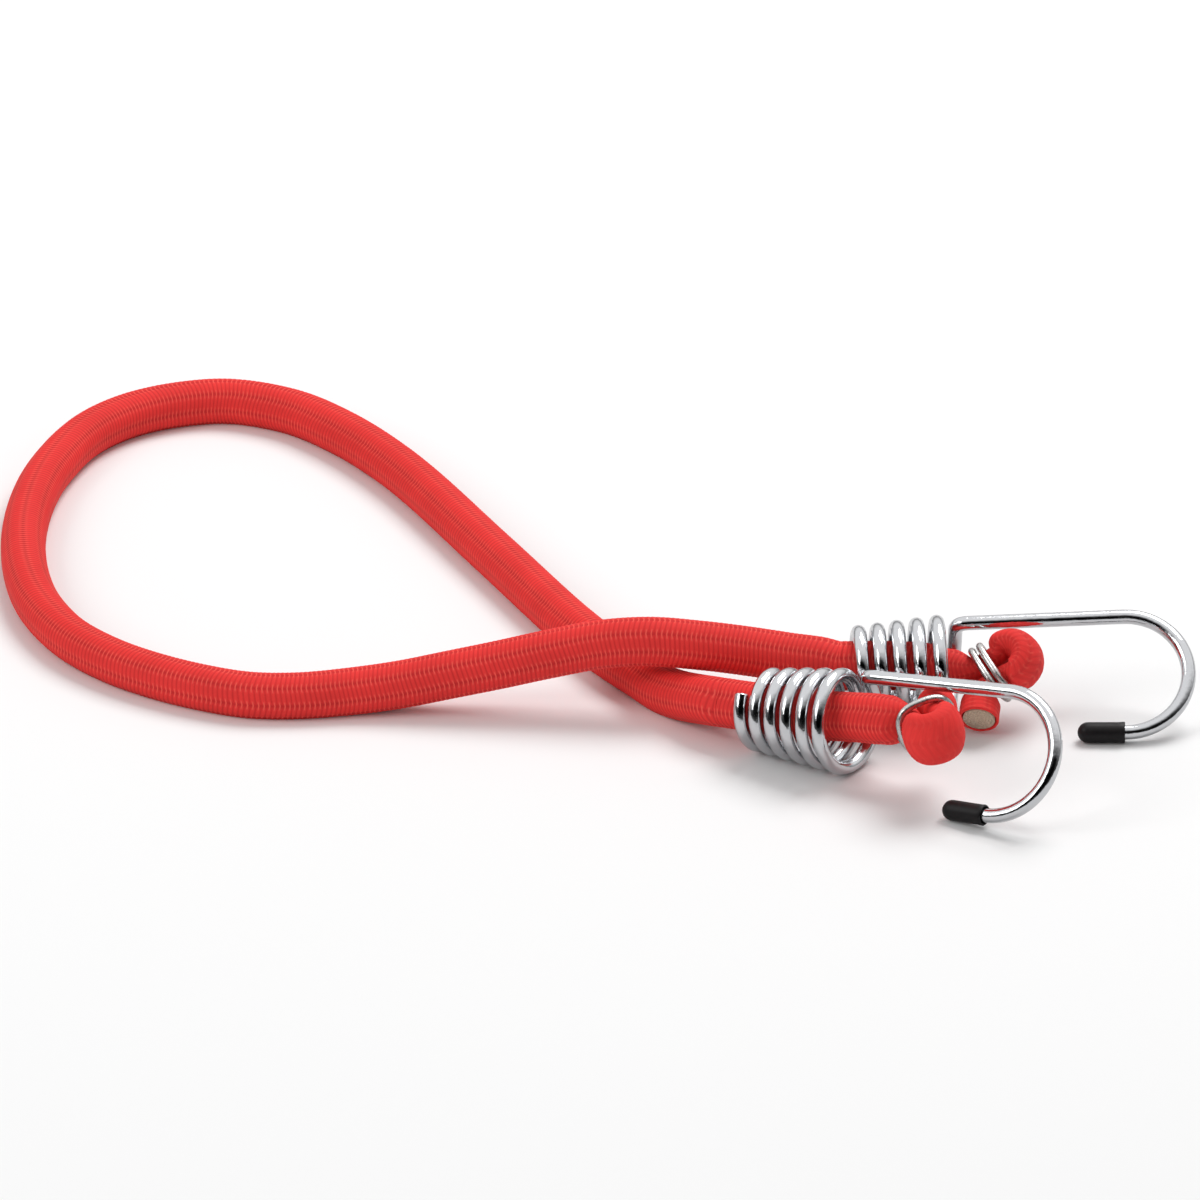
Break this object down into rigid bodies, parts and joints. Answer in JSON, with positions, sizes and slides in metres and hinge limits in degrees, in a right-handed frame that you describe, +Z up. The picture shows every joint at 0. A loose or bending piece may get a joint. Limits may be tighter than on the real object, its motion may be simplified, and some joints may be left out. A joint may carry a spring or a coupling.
{
  "type": "bungee cord",
  "caption": "Elastic cord with a red braided cover, lying in an open loop, with a chromed wire hook on a conical coil at each end and the cord ends folded back and clamped.",
  "frame": {"origin": "on the table, under the middle of the box round both hooks and folded ends, the loop of cord left out", "axes": "+Z up from the table, +X along the rear coil's axis towards the hooks' bends, +Y away from the front hook towards the rear one"},
  "size_m": [0.238, 0.195, 0.0249],
  "materials": {
    "braid": "red braided polyester yarn with a slight sheen",
    "rubber": "bundle of beige rubber strands, matt",
    "hook_wire": "bright plated spring wire",
    "clamp_wire": "plated soft wire, squeezed shut",
    "vinyl": "black dipped vinyl with a satin surface"
  },
  "bodies": {
    "cord": {"loop_cover": "braid", "loop_core": "rubber"},
    "front_end": {"front_end_cover": "braid", "front_end_core": "rubber", "front_clamp_ring": "clamp_wire"},
    "front_hook": {"front_hook_wire": "hook_wire", "front_tip_cap": "vinyl"},
    "rear_end": {"rear_end_cover": "braid", "rear_end_core": "rubber", "rear_clamp_ring": "clamp_wire"},
    "rear_hook": {"rear_hook_wire": "hook_wire", "rear_tip_cap": "vinyl"}
  },
  "joints": [
    {"name": "front_swivel", "type": "hinge", "parent": "cord", "child": "front_end", "pos_m": [-0.03943, 0.00771, 0.00853], "axis": [0.8506, -0.5131, 0.1149], "continuous": true},
    {"name": "front_slide", "type": "slide", "parent": "front_end", "child": "front_hook", "axis": [0.8506, -0.5131, 0.1149], "range_m": [-0.005, 0.009]},
    {"name": "rear_swivel", "type": "hinge", "parent": "cord", "child": "rear_end", "pos_m": [-0.02106, 0.0218, 0.01077], "axis": [0.9995, -0.0227, 0.0209], "continuous": true},
    {"name": "rear_slide", "type": "slide", "parent": "rear_end", "child": "rear_hook", "axis": [0.9995, -0.0227, 0.0209], "range_m": [-0.0025, 0.0008]}
  ]
}
